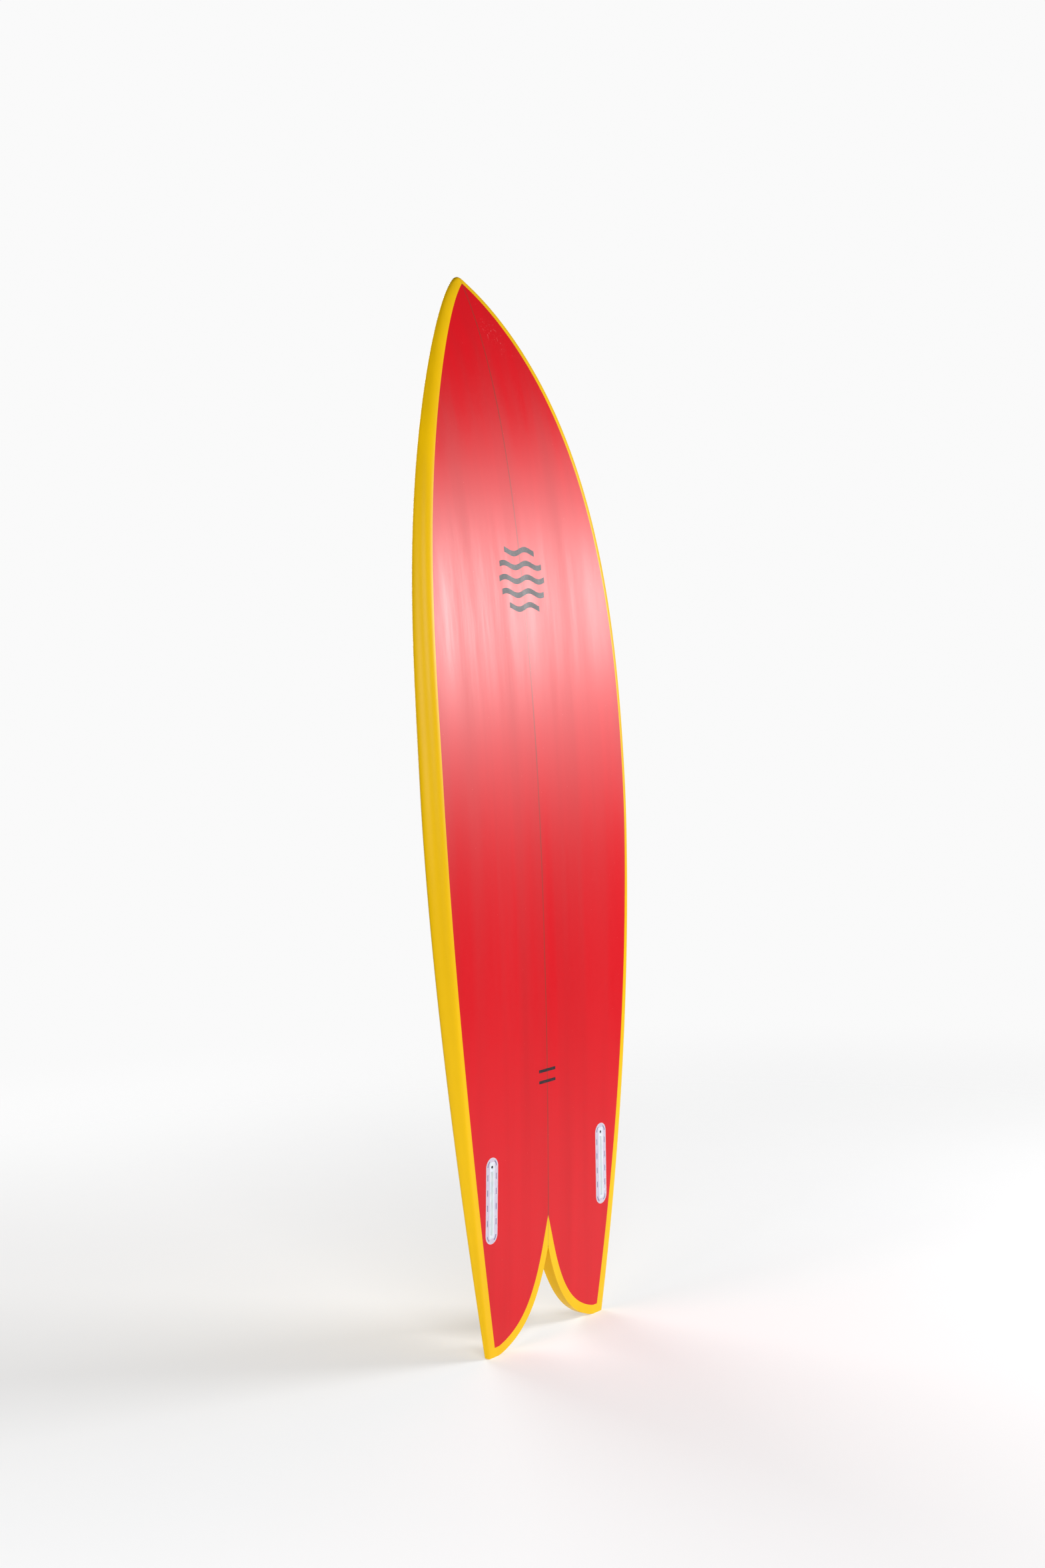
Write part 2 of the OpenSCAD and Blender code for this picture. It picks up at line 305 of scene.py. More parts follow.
def lap_window(inset, steps=120):
    """The outline of the red area, as a prism."""
    apex_share = (1 - (LAP_W / HALF_W) ** (1 / NOSE_FULLNESS)) ** (1 / NOSE_CURVE)
    apex_z = WIDE_Z + (LENGTH - WIDE_Z) * apex_share
    low_z = NOTCH_LAP_W + inset
    corner = (half_width(low_z) - LAP_W - inset, low_z)
    top_z = apex_z - 2 * inset
    half = [(x, z) for x, z in tail_edge(NOTCH_LAP_W + inset) if x < corner[0] - MM and z > low_z]
    half.append(corner)
    for k in range(1, steps):
        z = low_z + (top_z - low_z) * (1 - (1 - k / steps) ** LAP_CROWDS)
        half.append((half_width(z) - LAP_W - inset, z))
    half.append((0, top_z))
    return prism("lap_window", both_sides(half), -FAR, FAR)


def bottom_layer(name, shallow, deep, count=170):
    """A wide layer that follows the bottom between two depths."""
    rings = []
    for k in range(count + 1):
        z = TOP_Z * k / count
        low_y, high_y = bottom_y(z) + shallow, bottom_y(z) + deep
        rings.append([(-FAR, low_y, z), (FAR, low_y, z), (FAR, high_y, z), (-FAR, high_y, z)])
    return loft(name, rings)


# ---------------------------------------------------------------- places of the fittings
BOX_SLOPE = (rise(BOX_Z + MM) - rise(BOX_Z - MM)) / (2 * MM)


def fin_box_place(side):
    """The fin box's own frame: y = 0 is its flange, +Z runs along it towards the nose."""
    turn = Matrix.Rotation(-BOX_TOE, 4, "Y") @ Matrix.Rotation(-math.atan(BOX_SLOPE), 4, "X")
    return Matrix.Diagonal((side, 1, 1, 1)) @ Matrix.Translation((BOX_X, bottom_y(BOX_Z), BOX_Z)) @ turn


def deck_y(z):
    """Where the deck's centre line lies at height z."""
    return bottom_y(z) + thickness(z)


PLUG_SLOPE = (deck_y(PLUG_Z + 5 * MM) - deck_y(PLUG_Z - 5 * MM)) / (10 * MM)
PLUG_TURN = Matrix.Rotation(math.pi / 2 - math.atan(PLUG_SLOPE), 4, "X")
PLUG_PLACE = Matrix.Translation((0, deck_y(PLUG_Z), PLUG_Z)) @ PLUG_TURN
SCREW_TURN = Matrix.Rotation(-math.pi / 2, 4, "X")


def obround(name, length, width, low_y, high_y, steps=24):
    """A bar with round ends, along Z."""
    r = width / 2
    outline = []
    for end, start in ((1, 0), (-1, math.pi)):
        for k in range(steps + 1):
            a = start + math.pi * k / steps
            outline.append((r * math.cos(a), end * (length - width) / 2 + r * math.sin(a)))
    return prism(name, outline, low_y, high_y)


def block(name, width, low_y, high_y, low_z, high_z):
    """A rectangular block, centred on x = 0."""
    half = width / 2
    outline = [(-half, low_z), (half, low_z), (half, high_z), (-half, high_z)]
    return prism(name, outline, low_y, high_y)


def turned(name, rows, count=48):
    """A solid turned about +Z. Each row is a height and its radius, or a function from angle to radius."""
    bm = bmesh.new()
    angles = [2 * math.pi * k / count for k in range(count)]
    loops = []
    for height, radius in rows:
        sizes = [radius(a) if callable(radius) else radius for a in angles]
        if max(sizes) == 0:
            loops.append([bm.verts.new((0, 0, height))])
            continue
        points = [(r * math.cos(a), r * math.sin(a), height) for r, a in zip(sizes, angles)]
        loops.append([bm.verts.new(point) for point in points])
    for low, high in zip(loops, loops[1:]):
        for i in range(count):
            j = (i + 1) % count
            corners = [low[i % len(low)], low[j % len(low)], high[j % len(high)], high[i % len(high)]]
            bm.faces.new(list(dict.fromkeys(corners)))
    return new_object(name, bm)


# ---------------------------------------------------------------- materials
NOISE_ROUGHNESS = 0.55


class Shader:
    """One node material. Places on it are object coordinates, which are the row frame's metres."""

    def __init__(self, name):
        self.material = bpy.data.materials.new(name)
        self.material.use_nodes = True
        self.tree = self.material.node_tree
        self.bsdf = self.tree.nodes["Principled BSDF"]
        self.place = self.add("ShaderNodeTexCoord").outputs["Object"]

    def add(self, kind, inputs=None, **settings):
        """A node with its settings and its inputs, each a value or another node's output."""
        node = self.tree.nodes.new(kind)
        for key, value in settings.items():
            setattr(node, key, value)
        for key, value in (inputs or {}).items():
            self.put(node.inputs[key], value)
        return node

    def put(self, socket, value):
        """Links another node's output to a socket, or sets the socket's value."""
        if isinstance(value, bpy.types.NodeSocket):
            self.tree.links.new(value, socket)
        else:
            socket.default_value = value

    def set(self, **values):
        """Sets inputs of the material's main shader, with _ for the spaces in their names."""
        for key, value in values.items():
            self.put(self.bsdf.inputs[key.replace("_", " ")], value)
        return self

    def stretched(self, scale, offset=(0, 0, 0)):
        """Object coordinates, scaled along each axis and moved."""
        inputs = {"Vector": self.place, "Scale": scale, "Location": offset}
        return self.add("ShaderNodeMapping", inputs).outputs[0]

    def noise(self, scale, offset=(0, 0, 0), detail=4.0):
        """Noise with its own number of cells per metre along each axis."""
        inputs = {"Vector": self.stretched(scale, offset), "Scale": 1.0}
        inputs |= {"Detail": detail, "Roughness": NOISE_ROUGHNESS}
        return self.add("ShaderNodeTexNoise", inputs).outputs[0]

    def math(self, operation, a, b=0.0, clamp=False):
        """One arithmetic operation on two values or outputs."""
        node = self.add("ShaderNodeMath", operation=operation, use_clamp=clamp)
        self.put(node.inputs[0], a)
        self.put(node.inputs[1], b)
        return node.outputs[0]

    def ramp(self, value, low, high, to_low=0.0, to_high=1.0):
        """Value mapped from low..high to to_low..to_high, clamped and smooth."""
        inputs = {"Value": value, "From Min": low, "From Max": high, "To Min": to_low, "To Max": to_high}
        return self.add("ShaderNodeMapRange", inputs, interpolation_type="SMOOTHSTEP").outputs[0]

    def mix(self, factor, a, b):
        """Colour a where the factor is 0, and colour b where it is 1."""
        node = self.add("ShaderNodeMix", data_type="RGBA")
        for index, value in ((0, factor), (6, a), (7, b)):
            self.put(node.inputs[index], value if not isinstance(value, tuple) else (*value, 1.0))
        return node.outputs[2]

    def axis(self, name):
        """One object coordinate."""
        return self.add("ShaderNodeSeparateXYZ", {"Vector": self.place}).outputs[name]

    def bump(self, height, strength, distance):
        """Lets a height roughen the surface."""
        inputs = {"Height": height, "Strength": strength, "Distance": distance}
        self.put(self.bsdf.inputs["Normal"], self.add("ShaderNodeBump", inputs).outputs[0])
        return self


def srgb(r, g, b):
    """A colour given as 0..255 screen values."""
    return tuple((c / 255 / 12.92) if c <= 10 else ((c / 255 + 0.055) / 1.055) ** 2.4 for c in (r, g, b))


def specks(s, per_metre, radius, share):
    """Small round flecks scattered over the board's plane: 1 on a fleck, 0 elsewhere."""
    flat = s.add("ShaderNodeCombineXYZ", {"X": s.axis("X"), "Y": s.axis("Z")}).outputs[0]
    cells = s.add("ShaderNodeTexVoronoi", {"Vector": flat, "Scale": per_metre}, voronoi_dimensions="2D")
    near = s.ramp(cells.outputs["Distance"], radius * per_metre * 0.5, radius * per_metre, 1.0, 0.0)
    chance = s.add("ShaderNodeSeparateXYZ", {"Vector": cells.outputs["Color"]}).outputs["X"]
    return s.math("MULTIPLY", near, s.math("LESS_THAN", chance, share))


def hairs(s, scale, width, offset):
    """Thin wandering lines: 1 on a line, 0 elsewhere, each broken up by a second noise."""
    field = s.noise(scale, offset, detail=2.0)
    line = s.ramp(s.math("ABSOLUTE", s.math("SUBTRACT", field, 0.5)), 0.0, width, 1.0, 0.0)
    gaps = s.ramp(s.noise([c * 1.7 for c in scale], [c + 9 for c in offset], detail=1.0), 0.50, 0.60)
    return s.math("MULTIPLY", line, gaps)


WAVE_RATE = 20                  # radians per metre of a wave texture whose scale is 1


def bands(s, scale, axis):
    """Slightly wavy parallel bands across one axis."""
    inputs = {"Vector": s.place, "Scale": scale, "Distortion": 0.6, "Detail": 1.0}
    return s.add("ShaderNodeTexWave", inputs, bands_direction=axis).outputs["Fac"]


def weave(s, pitch):
    """The slow unevenness of woven cloth in the board's plane, with its waves a pitch apart."""
    scale = 2 * math.pi / pitch / WAVE_RATE
    return s.math("MULTIPLY", bands(s, scale, "X"), bands(s, scale, "Z"))


CLOTH_PITCH = 0.0075398
STRINGER_WANDER = 0.0016        # how far the line of the stringer strays
FLECKS_PER_METRE, FLECK_R, FLECK_SHARE, FLECK_SHOWN = 16, 0.0006, 0.35, 0.45


def laminate(name, tint, deep_tint, fleck_tint, stringer_tint, stringer_half, stringer_shown, rough):
    """Tinted resin and glass cloth over foam, sanded along the board. The stringer shows through."""
    s = Shader(name)
    broad = s.noise((5, 5, 0.9), (3, 0, 1), detail=3.0)
    streak = s.noise((24, 14, 0.5), (1, 2, 3), detail=2.5)
    fine = s.noise((420, 300, 5), (5, 1, 2), detail=3.0)
    pores = s.noise((900, 900, 900), detail=1.0)
    tone = s.math("ADD", s.math("MULTIPLY", broad, 0.5), s.math("MULTIPLY", streak, 0.5))
    colour = s.mix(s.ramp(tone, 0.38, 0.66), tint, deep_tint)
    wander = s.math("SUBTRACT", s.noise((0, 0, 3), detail=2.0), 0.5)
    wander = s.math("MULTIPLY", wander, STRINGER_WANDER)
    off_line = s.math("ABSOLUTE", s.math("ADD", s.axis("X"), wander))
    on_line = s.ramp(off_line, stringer_half * 0.55, stringer_half * 1.35, stringer_shown, 0.0)
    grain = s.ramp(s.noise((900, 60, 14), detail=4.0), 0.35, 0.65, 0.55, 0.95)
    colour = s.mix(s.math("MULTIPLY", on_line, grain), colour, stringer_tint)
    flecks = specks(s, FLECKS_PER_METRE, FLECK_R, FLECK_SHARE)
    s.set(Base_Color=s.mix(s.math("MULTIPLY", flecks, FLECK_SHOWN), colour, fleck_tint))
    rough_streak = s.ramp(streak, 0.3, 0.7, rough - 0.035, rough + 0.045)
    rough_fine = s.math("MULTIPLY", s.math("SUBTRACT", fine, 0.5), 0.08)
    s.set(Roughness=s.math("ADD", rough_streak, rough_fine, clamp=True))
    height = s.math("ADD", s.math("MULTIPLY", fine, 0.2), s.math("MULTIPLY", pores, 0.25))
    height = s.math("ADD", height, s.math("MULTIPLY", weave(s, CLOTH_PITCH), 0.12))
    s.bump(height, 0.10, 0.0003)
    return s


def mark_on(s, mask, tint):
    """Lays a tint over a laminate's colour where the mask says."""
    under = s.bsdf.inputs["Base Color"].links[0].from_socket
    s.set(Base_Color=s.mix(mask, under, tint))


SCRATCH_SLANT = 0.45            # the scratched band comes down this much per metre across
SCRATCH_FROM, SCRATCH_TO = (1.610, 1.635), (1.650, 1.680)
SCRATCH_INNER, SCRATCH_OUTER = (0.006, 0.018), (0.045, 0.068)
SCRATCH_SCALE, SCRATCH_WIDTH, SCRATCH_SHOWN = (150, 100, 130), 0.019, 0.35


def scratches(s):
    """A patch of hairline scratches near the nose, on the starboard side: 1 on a scratch, 0 elsewhere."""
    slant = s.math("ADD", s.axis("Z"), s.math("MULTIPLY", s.axis("X"), SCRATCH_SLANT))
    band = s.math("MULTIPLY", s.ramp(slant, *SCRATCH_FROM), s.ramp(slant, *SCRATCH_TO, 1.0, 0.0))
    inner = s.ramp(s.axis("X"), *SCRATCH_INNER)
    outer = s.ramp(s.axis("X"), *SCRATCH_OUTER, 1.0, 0.0)
    patch = s.math("MULTIPLY", band, s.math("MULTIPLY", inner, outer))
    return s.math("MULTIPLY", patch, hairs(s, SCRATCH_SCALE, SCRATCH_WIDTH, (7, 3, 1)))


def red_laminate():
    """The bottom's red, scratched near the nose."""
    s = laminate("tinted_red_laminate", srgb(208, 3, 21), srgb(196, 2, 18), srgb(255, 130, 130),
                 srgb(132, 52, 38), 0.0013, 0.9, 0.33)
    mark_on(s, s.math("MULTIPLY", scratches(s), SCRATCH_SHOWN), srgb(255, 150, 150))
    s.set(Specular_IOR_Level=0.27)
    return s.material


APEX_STAIN = (0.0012, 0.0028)    # the radius of the brown spot at the notch's apex, solid and faded out


def yellow_laminate():
    """The deck's and the rails' yellow, with a brown spot at the notch's apex."""
    s = laminate("tinted_yellow_laminate", srgb(236, 188, 9), srgb(225, 178, 7), srgb(246, 214, 120),
                 srgb(176, 146, 52), 0.0009, 0.8, 0.33)
    apex = (0.0, bottom_y(NOTCH_D) + 0.002, NOTCH_D)
    away = s.add("ShaderNodeVectorMath", {0: s.place, 1: apex}, operation="DISTANCE").outputs["Value"]
    mark_on(s, s.ramp(away, *APEX_STAIN, 0.85, 0.0), srgb(96, 66, 34))
    s.set(Specular_IOR_Level=0.17)
    return s.material


MOULD_GRAIN = 1400


def moulded(name, light, dark, rough, translucent=0.0, coat=0.0):
    """Moulded plastic with a fine grain, slight clouding and rubbed places."""
    s = Shader(name)
    cloud = s.noise((70, 70, 70), detail=3.0)
    fine = s.noise((MOULD_GRAIN, MOULD_GRAIN, MOULD_GRAIN), detail=2.0)
    s.set(Base_Color=s.mix(s.ramp(cloud, 0.35, 0.68), light, dark))
    s.set(Roughness=s.ramp(cloud, 0.3, 0.7, rough - 0.06, rough + 0.07))
    s.bump(fine, 0.10, 0.0001)
    if translucent:
        s.set(Subsurface_Weight=translucent, Subsurface_Scale=0.004)
    if coat:
        s.set(Coat_Weight=coat, Coat_Roughness=0.2)
    return s.material


def metal(name, light, dark, rough):
    """Turned or ground metal, with fine lines and darker stains."""
    s = Shader(name)
    lines = s.noise((2600, 160, 2600), detail=3.0)
    stain = s.noise((320, 320, 320), detail=4.0)
    s.set(Base_Color=s.mix(s.ramp(stain, 0.4, 0.7), light, dark), Metallic=1.0)
    s.set(Roughness=s.ramp(lines, 0.3, 0.7, rough - 0.07, rough + 0.09))
    return s.bump(lines, 0.12, 0.00005).material


def foam():
    """Closed-cell foam, slightly clouded."""
    s = Shader("foam_blank")
    cells = s.add("ShaderNodeTexVoronoi", {"Vector": s.place, "Scale": 700.0}).outputs["Distance"]
    cloud = s.ramp(s.noise((9, 9, 3)), 0.35, 0.65)
    s.set(Base_Color=s.mix(cloud, srgb(244, 241, 228), srgb(232, 226, 205)))
    s.set(Roughness=0.92)
    return s.bump(cells, 0.5, 0.0006).material


def wood():
    """Light wood with its grain along the board."""
    s = Shader("stringer_wood")
    inputs = {"Vector": s.stretched((900, 40, 2.2)), "Scale": 1.0, "Distortion": 3.0, "Detail": 3.0}
    rings = s.add("ShaderNodeTexWave", inputs, bands_direction="Y").outputs["Fac"]
    s.set(Base_Color=s.mix(rings, srgb(196, 160, 112), srgb(150, 108, 68)))
    s.set(Roughness=s.ramp(rings, 0.2, 0.8, 0.55, 0.75))
    return s.bump(rings, 0.3, 0.0002).material


def printed(name, ink, faded):
    """Ink on tissue under the finish, a little worn."""
    s = Shader(name)
    worn = s.noise((240, 240, 240), detail=5.0)
    s.set(Base_Color=s.mix(s.ramp(worn, 0.42, 0.7), ink, faded))
    s.set(Roughness=s.ramp(s.noise((34, 20, 0.7), (1, 2, 3), detail=5.0), 0.32, 0.7, 0.36, 0.46))
    s.set(Specular_IOR_Level=0.22)
    return s.bump(s.noise((1600, 1600, 1600), detail=2.0), 0.08, 0.0001).material


RED = red_laminate()
YELLOW = yellow_laminate()
BOX_WHITE = moulded("fin_box_white", srgb(216, 222, 230), srgb(208, 214, 224), 0.34, translucent=0.15)
BOX_FLANGE = moulded("fin_box_flange", srgb(202, 193, 211), srgb(194, 184, 205), 0.30, translucent=0.2)
# The slot's inside is a lighter copy of the box's plastic: painted light that lifts the shade inside the
# slot.
BOX_SLOT_PAINTED_LIGHT = moulded("fin_box_slot_painted_light", srgb(232, 238, 240), srgb(224, 232, 235), 0.40, translucent=0.15)
BOX_INLAY = moulded("fin_box_inlay", srgb(126, 116, 150), srgb(102, 94, 132), 0.38)
BED = moulded("bedding_resin", srgb(222, 206, 213), srgb(212, 190, 200), 0.30, translucent=0.2, coat=0.3)
PLUG = moulded("leash_plug_plastic", srgb(236, 238, 242), srgb(220, 223, 230), 0.36, translucent=0.1)
SCREW = metal("black_oxide_steel", srgb(62, 62, 66), srgb(34, 34, 38), 0.34)
PIN = metal("stainless_steel", srgb(205, 207, 210), srgb(170, 172, 176), 0.24)
GREY_INK = printed("grey_ink", srgb(58, 55, 60), srgb(74, 70, 73))
BLACK_INK = printed("black_ink", srgb(38, 30, 36), srgb(64, 44, 50))
FOAM = foam()
WOOD = wood()
PLY = moulded("clear_glass_ply", srgb(224, 226, 214), srgb(206, 210, 196), 0.3, coat=0.3)


# ---------------------------------------------------------------- the glass
def fin_box_pocket(side):
    """The opening in the bottom's glass for a fin box and its bed."""
    pocket = obround("pocket", BOX_L + 2 * BED_T, BOX_W + 2 * BED_T, -POCKET_OVER, FLANGE_T + BED_T)
    return place(pocket, fin_box_place(side))


def bottom_glass():
    """The red cloth, up to the cut lap and open at the fin boxes."""
    obj = bottom_layer("bottom_glass", 0, BOTTOM_GLASS_T)
    combine(obj, lap_window(GLUE_T), "INTERSECT")
    for side in SIDES.values():
        combine(obj, fin_box_pocket(side))
    shade(obj)
    return finish_piece(obj, "board", [RED], ["bottom_laminate"])


def plug_pocket():
    """The opening in the deck's glass for the leash plug and its bed."""
    r = PLUG_FLANGE_R + BED_T
    rows = [(-POCKET_OVER, 0), (-POCKET_OVER, r), (POCKET_OVER, r), (POCKET_OVER, 0)]
    return place(turned("pocket", rows), PLUG_PLACE)


INSIDE_SHARE = 0.65             # the inside of a glass layer needs fewer rings than its outside


def glass_layer(name, shallow, deep, count):
    """A layer of the deck's glass between two depths, open over the red area and the leash plug."""
    obj = uncut_board(name, shallow, count)
    inside = uncut_board("inside", deep, int(count * INSIDE_SHARE))
    combine(inside, below_tail(deep))
    combine(obj, below_tail(shallow))
    combine(obj, inside)
    opening = bottom_layer("opening", -NOSE_T, NOSE_T / 3)
    combine(opening, lap_window(0), "INTERSECT")
    combine(obj, opening)
    combine(obj, plug_pocket())
    return shade(obj)


def deck_glass():
    """The yellow cloth round the deck, the rails and the notch."""
    obj = glass_layer("deck_glass", 0, DECK_GLASS_T, 230)
    return finish_piece(obj, "board", [YELLOW], ["deck_laminate"])


def inner_glass():
    """The deck's second layer of cloth, under the yellow one."""
    obj = glass_layer("inner_glass", DECK_GLASS_T + GLUE_T, BOTTOM_GLASS_T, 150)
    return finish_piece(obj, "board", [PLY], ["deck_inner_ply"])


bottom_glass()
deck_glass()
inner_glass()


# ---------------------------------------------------------------- the fin boxes
SEAT_W = BOX_BODY_W - 0.0005
BEVEL_W = 0.00018
LUG_CLEAR = 2e-5                # keeps the lug pocket's walls just inside the slot's
# The slot's place holds the lighter plastic, painted light inside the slot.
WHITE_AT, FLANGE_AT, PAINTED_SLOT_AT = 0, 1, 2  # the places of a fin box's materials


def fin_box(name, side):
    """A slotted box with a flange, a raised seat, a pocket for the fin's lugs and a screw hole."""
    obj = obround("fin_box_body_" + name, BOX_L, BOX_W, 0, FLANGE_T)
    body = block("body", BOX_BODY_W, FLANGE_T / 2, BOX_D, BOX_BODY_LOW, BOX_BODY_HIGH)
    seat = block("seat", SEAT_W, -SEAT_PROUD, FLANGE_T / 2, BOX_BODY_LOW, BOX_BODY_HIGH)
    for more in (body, seat):
        combine(obj, more, "UNION", "EXACT")
    slot = block("slot", SLOT_W, -CUT_OVER, SLOT_D, SLOT_LOW, SLOT_LOW + SLOT_L)
    lug_low, lug_high = SLOT_LOW + LUG_CLEAR / 2, SCREW_Z + SCREW_HOLE_R
    lug = block("lug", SLOT_W - LUG_CLEAR, LUG_POCKET_Y, SLOT_D - LUG_CLEAR, lug_low, lug_high)
    rows = [(-CUT_OVER, 0), (-CUT_OVER, SCREW_HOLE_R), (SCREW_HOLE_D, SCREW_HOLE_R), (SCREW_HOLE_D, 0)]
    hole = place(turned("hole", rows), Matrix.Translation((0, 0, SCREW_Z)) @ SCREW_TURN)
    for less in (slot, lug, hole):
        combine(obj, less, "DIFFERENCE", "EXACT")
    limit = math.radians(50)
    with_modifier(obj, "BEVEL", width=BEVEL_W, segments=2, limit_method="ANGLE", angle_limit=limit)
    for polygon in obj.data.polygons:
        x, y, z = polygon.center
        in_slot = abs(x) < SLOT_W / 2 + 0.1 * MM and y > 0.5 * MM and z < SLOT_LOW + SLOT_L + 0.2 * MM
        on_seat = y < -SEAT_PROUD / 2
        # Faces inside the slot take the lighter plastic, painted light in the slot.
        polygon.material_index = PAINTED_SLOT_AT if in_slot else WHITE_AT if on_seat or y > FLANGE_T else FLANGE_AT
    place(obj, fin_box_place(side))
    indices = [p.material_index for p in obj.data.polygons]
    shade(obj)
    finish_piece(obj, "board", [BOX_WHITE, BOX_FLANGE, BOX_SLOT_PAINTED_LIGHT], ["fin_box_" + name])
    obj.data.polygons.foreach_set("material_index", indices)
    return obj


DASH_X, DASH_W, DASH_L, DASH_PITCH = 0.0109, 0.0020, 0.0098, 0.0241
DASH_COUNT, DASH_MID_Z = 4, 0.002
DASH_PROUD, DASH_SUNK = 0.00004, 0.0004
DASH_TOP = 0.92                 # the width of a dash's top, as a share of its foot
ARC_START, ARC_SWEEP, ARC_STEPS = 5, 52, 8


def dash(bm, line):
    """A flat inlay of the dash's width along a line of points (x, z)."""
    rows = []
    for k, (x, z) in enumerate(line):
        a, b = line[max(0, k - 1)], line[min(len(line) - 1, k + 1)]
        across = Vector((b[1] - a[1], 0, a[0] - b[0])).normalized() * DASH_W / 2
        middle = Vector((x, 0, z))
        profile = ((-1, DASH_SUNK), (-DASH_TOP, -DASH_PROUD), (DASH_TOP, -DASH_PROUD), (1, DASH_SUNK))
        rows.append([bm.verts.new(middle + across * share + Vector((0, y, 0))) for share, y in profile])
    for low, high in zip(rows, rows[1:]):
        for i in range(4):
            j = (i + 1) % 4
            bm.faces.new((low[i], low[j], high[j], high[i]))
    bm.faces.new(rows[0])
    bm.faces.new(rows[-1])


def fin_box_inlays(name, side):
    """The dashes along both edges of a fin box's flange, and round its ends."""
    bm = bmesh.new()
    for edge in (-1, 1):
        for k in range(DASH_COUNT):
            z = DASH_MID_Z + (k - (DASH_COUNT - 1) / 2) * DASH_PITCH
            dash(bm, [(edge * DASH_X, z - DASH_L / 2), (edge * DASH_X, z + DASH_L / 2)])
        for end in (-1, 1):
            arc_z = end * (BOX_L - BOX_W) / 2
            turn = [math.radians(ARC_START + ARC_SWEEP * k / ARC_STEPS) for k in range(ARC_STEPS + 1)]
            dash(bm, [(edge * DASH_X * math.cos(a), arc_z + end * DASH_X * math.sin(a)) for a in turn])
    obj = place(new_object("fin_box_inlays_" + name, bm), fin_box_place(side))
    shade(obj)
    return finish_piece(obj, "board", [BOX_INLAY])


def hexagon(across):
    """The radius of a hexagon with that distance over its corners, at an angle."""
    flat = across / 2 * math.cos(math.pi / 6)
    return lambda a: flat / math.cos((a + math.pi / 6) % (math.pi / 3) - math.pi / 6)


THREAD_PITCH, THREAD_DEPTH, RINGS_PER_TURN = 0.0008, 0.00032, 10
CHAMFER, POINT_L = 0.0003, 0.0006
THREAD_L = SCREW_L - CHAMFER - POINT_L
HEX_CHAMFER, HEX_MOUTH = 0.0002, 1.08


def fin_screw(name, side):
    """A grub screw with a thread, a hexagon socket and a cup point."""
    core = SCREW_R - 0.00001

    def thread(height):
        """The thread's ring at a height, fading out at both ends."""
        fade = min(1, (height - CHAMFER) / THREAD_PITCH, (SCREW_L - POINT_L - height) / THREAD_PITCH)

        def radius(a):
            phase = (height / THREAD_PITCH - a / (2 * math.pi)) % 1
            return core - THREAD_DEPTH * max(0, fade) * (1 - abs(2 * phase - 1))

        return radius

    steps = int(THREAD_L / THREAD_PITCH * RINGS_PER_TURN)
    rows = [(HEX_DEPTH, 0), (HEX_DEPTH, hexagon(HEX_D))]
    rows += [(HEX_CHAMFER, hexagon(HEX_D)), (0, hexagon(HEX_D * HEX_MOUTH))]
    rows += [(0, core - 0.0004), (CHAMFER, core)]
    for k in range(1, steps):
        height = CHAMFER + THREAD_L * k / steps
        rows.append((height, thread(height)))
    rows += [(SCREW_L - POINT_L, core), (SCREW_L, core - 0.0007)]
    rows += [(SCREW_L, core - 0.0011), (SCREW_L - 0.0005, 0)]
    obj = turned("fin_screw_thread_" + name, rows)
    place(obj, fin_box_place(side) @ Matrix.Translation((0, SCREW_DEPTH, SCREW_Z)) @ SCREW_TURN)
    shade(obj, 40)
    return finish_piece(obj, "fin_screw_" + name, [SCREW], ["fin_screw_" + name])


for side_name, side in SIDES.items():
    fin_box(side_name, side)
    fin_box_inlays(side_name, side)
    fin_screw(side_name, side)


# ---------------------------------------------------------------- the leash plug
def rounded(centre_r, centre_z, r, start, end, steps=5):
    """Rows along a rounded corner of a turned solid, between two angles in degrees."""
    angles = [math.radians(start + (end - start) * k / steps) for k in range(steps + 1)]
    return [(centre_z - r * math.sin(a), centre_r + r * math.cos(a)) for a in angles]


def leash_cup():
    """The plug's cup, with a rounded flange, a rounded lip and a fillet at its floor."""
    edge, lip, fillet = 0.0005, 0.0006, 0.002
    floor_z = PLUG_D - PLUG_FLOOR_T
    rows = [(floor_z, 0)]
    rows += [(z, r) for z, r in rounded(PLUG_HOLLOW_R - fillet, floor_z - fillet, fillet, -90, 0)]
    rows += [(z, r) for z, r in reversed(rounded(PLUG_HOLLOW_R + lip, lip, lip, 90, 180))]
    rows += [(z, r) for z, r in rounded(PLUG_FLANGE_R - edge, edge, edge, 90, 0)]
    rows += [(FLANGE_T, PLUG_FLANGE_R), (FLANGE_T, PLUG_CUP_R), (PLUG_D, PLUG_CUP_R), (PLUG_D, 0)]
    obj = place(turned("leash_cup_body", rows, 72), PLUG_PLACE)
    shade(obj)
    return finish_piece(obj, "board", [PLUG], ["leash_plug_cup"])


def leash_pin():
    """The bar across the cup that a leash is tied to."""
    half, edge = PIN_L / 2, 0.0003
    rows = [(-half, 0), (-half, PIN_R - edge), (edge - half, PIN_R)]
    rows += [(half - edge, PIN_R), (half, PIN_R - edge), (half, 0)]
    obj = turned("leash_pin_bar", rows, 32)
    place(obj, PLUG_PLACE @ Matrix.Translation((0, 0, PIN_DEPTH)) @ Matrix.Rotation(math.pi / 2, 4, "Y"))
    shade(obj)
    return finish_piece(obj, "board", [PIN], ["leash_pin"])


leash_cup()
leash_pin()

# ---------------------------------------------------------------- finishes of the CAD nodes that stay
NODE_FINISH = {
    "foam_core_port": FOAM, "foam_core_starboard": FOAM, "stringer": WOOD,
    "fin_box_bed_port": BED, "fin_box_bed_starboard": BED, "leash_plug_bed": BED,
    "wave_mark": GREY_INK, "bar_mark": BLACK_INK,
}
for node, material in NODE_FINISH.items():
    frame["nodes"][node].data.materials.clear()
    frame["nodes"][node].data.materials.append(material)


# ---------------------------------------------------------------- floor, light and camera
FLOOR_R = 14
FLOOR_FADES = (0.5, 3.2)        # metres from the board


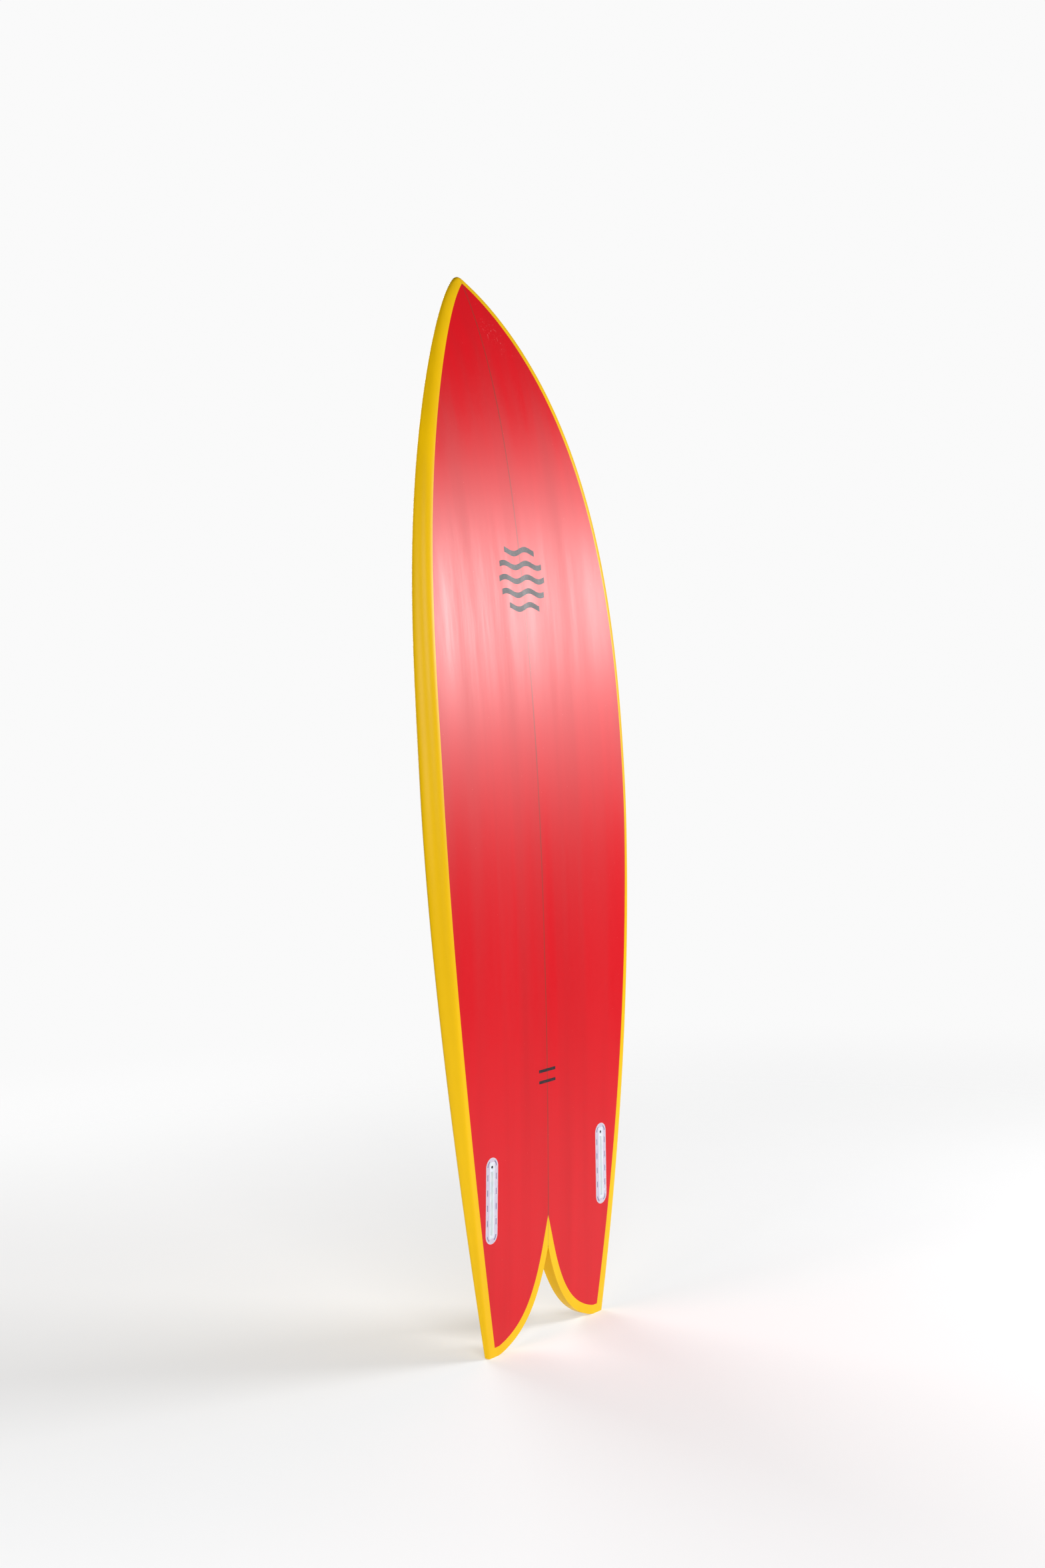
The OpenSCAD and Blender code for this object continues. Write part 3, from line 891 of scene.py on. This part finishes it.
def floor():
    """A pale floor that fades into the background away from the board."""
    bm = bmesh.new()
    bmesh.ops.create_circle(bm, cap_ends=True, segments=96, radius=FLOOR_R)
    obj = new_object("floor", bm)
    s = Shader("floor_paint")
    cloud = s.noise((1.5, 1.5, 1.5), detail=4.0)
    s.set(Base_Color=s.mix(cloud, (0.69, 0.69, 0.69), (0.66, 0.66, 0.67)), Roughness=0.9)
    s.set(Specular_IOR_Level=0.1, Emission_Color=(1, 1, 1, 1), Emission_Strength=0.30)
    far = s.add("ShaderNodeVectorMath", {0: s.place}, operation="LENGTH").outputs["Value"]
    clear = s.add("ShaderNodeBsdfTransparent").outputs[0]
    blend = s.add("ShaderNodeMixShader", {0: s.ramp(far, *FLOOR_FADES), 1: s.bsdf.outputs[0], 2: clear})
    s.tree.links.new(blend.outputs[0], s.tree.nodes["Material Output"].inputs["Surface"])
    obj.data.materials.append(s.material)


GLOW_TOWARDS = Vector((0.8, -0.6, 0.1)).normalized()
GLOW_STRENGTH, BACKGROUND_STRENGTH = 0.145, 0.955


def world():
    """A pale background for the camera. The board gets only a faint glow from its front right."""
    sky = bpy.data.worlds.new("studio")
    bpy.context.scene.world = sky
    sky.use_nodes = True
    nodes, links = sky.node_tree.nodes, sky.node_tree.links
    background = nodes["Background"]
    direction = nodes.new("ShaderNodeTexCoord").outputs["Generated"]
    dot = nodes.new("ShaderNodeVectorMath")
    dot.operation = "DOT_PRODUCT"
    links.new(direction, dot.inputs[0])
    dot.inputs[1].default_value = GLOW_TOWARDS
    shape = nodes.new("ShaderNodeMapRange")
    shape.interpolation_type = "SMOOTHSTEP"
    for key, value in (("From Min", 0.1), ("From Max", 0.9), ("To Min", 0.0), ("To Max", GLOW_STRENGTH)):
        shape.inputs[key].default_value = value
    links.new(dot.outputs["Value"], shape.inputs["Value"])
    seen = nodes.new("ShaderNodeLightPath").outputs["Is Camera Ray"]
    strength = nodes.new("ShaderNodeMix")
    links.new(seen, strength.inputs[0])
    links.new(shape.outputs[0], strength.inputs[2])
    strength.inputs[3].default_value = BACKGROUND_STRENGTH
    links.new(strength.outputs[0], background.inputs["Strength"])
    background.inputs["Color"].default_value = (1, 1, 1, 1)


def softbox(name, at, towards, width, height, power):
    """A rectangular soft light, its width level and its face towards a point."""
    data = bpy.data.lights.new(name, "AREA")
    data.shape, data.size, data.size_y, data.energy = "RECTANGLE", width, height, power
    obj = bpy.data.objects.new(name, data)
    obj.location = at
    obj.rotation_euler = (Vector(towards) - Vector(at)).to_track_quat("-Z", "Y").to_euler()
    bpy.context.scene.collection.objects.link(obj)


CAMERA_AZIMUTH, CAMERA_ELEVATION, CAMERA_ROLL = (math.radians(a) for a in (-52.6415, 2.6576, -2.1925))
CAMERA_DISTANCE = 3.407
CAMERA_AIM = Vector((-0.04292, -0.06742, 0.90314))
CAMERA_LENS, SENSOR = 49.131, 36


def camera():
    """The camera, on a sphere round its aim and rolled a little."""
    a, e = CAMERA_AZIMUTH, CAMERA_ELEVATION
    back = Vector((math.sin(a) * math.cos(e), -math.cos(a) * math.cos(e), math.sin(e)))
    right = (-back).cross(Vector((0, 0, 1))).normalized()
    up = right.cross(-back)
    c, s = math.cos(CAMERA_ROLL), math.sin(CAMERA_ROLL)
    data = bpy.data.cameras.new("camera")
    data.lens, data.sensor_width = CAMERA_LENS, SENSOR
    obj = bpy.data.objects.new("camera", data)
    turn = Matrix((right * c + up * s, up * c - right * s, back)).transposed().to_4x4()
    obj.matrix_world = Matrix.Translation(CAMERA_AIM + back * CAMERA_DISTANCE) @ turn
    bpy.context.scene.collection.objects.link(obj)
    bpy.context.scene.camera = obj


floor()
world()
softbox("key", (2.07, -2.24, 1.56), (0, -0.05, 1.15), 1.5, 0.45, 68)
softbox("key_surround", (2.39, -1.83, 1.52), (0, -0.05, 1.15), 2.0, 1.5, 24)
softbox("fill", (-2.6, -2.9, 2.1), (0, 0, 1.0), 1.8, 1.8, 78)
softbox("low_fill", (-1.4, -3.4, 0.9), (0, 0, 0.8), 1.8, 1.2, 7)
softbox("left", (-3.2, 0.2, 1.4), (0, 0, 1.1), 1.6, 1.6, 45)
softbox("back", (1.6, 3.4, 2.0), (0, 0, 0.8), 2.4, 2.4, 90)
camera()
bpy.context.scene.view_settings.view_transform = "Standard"
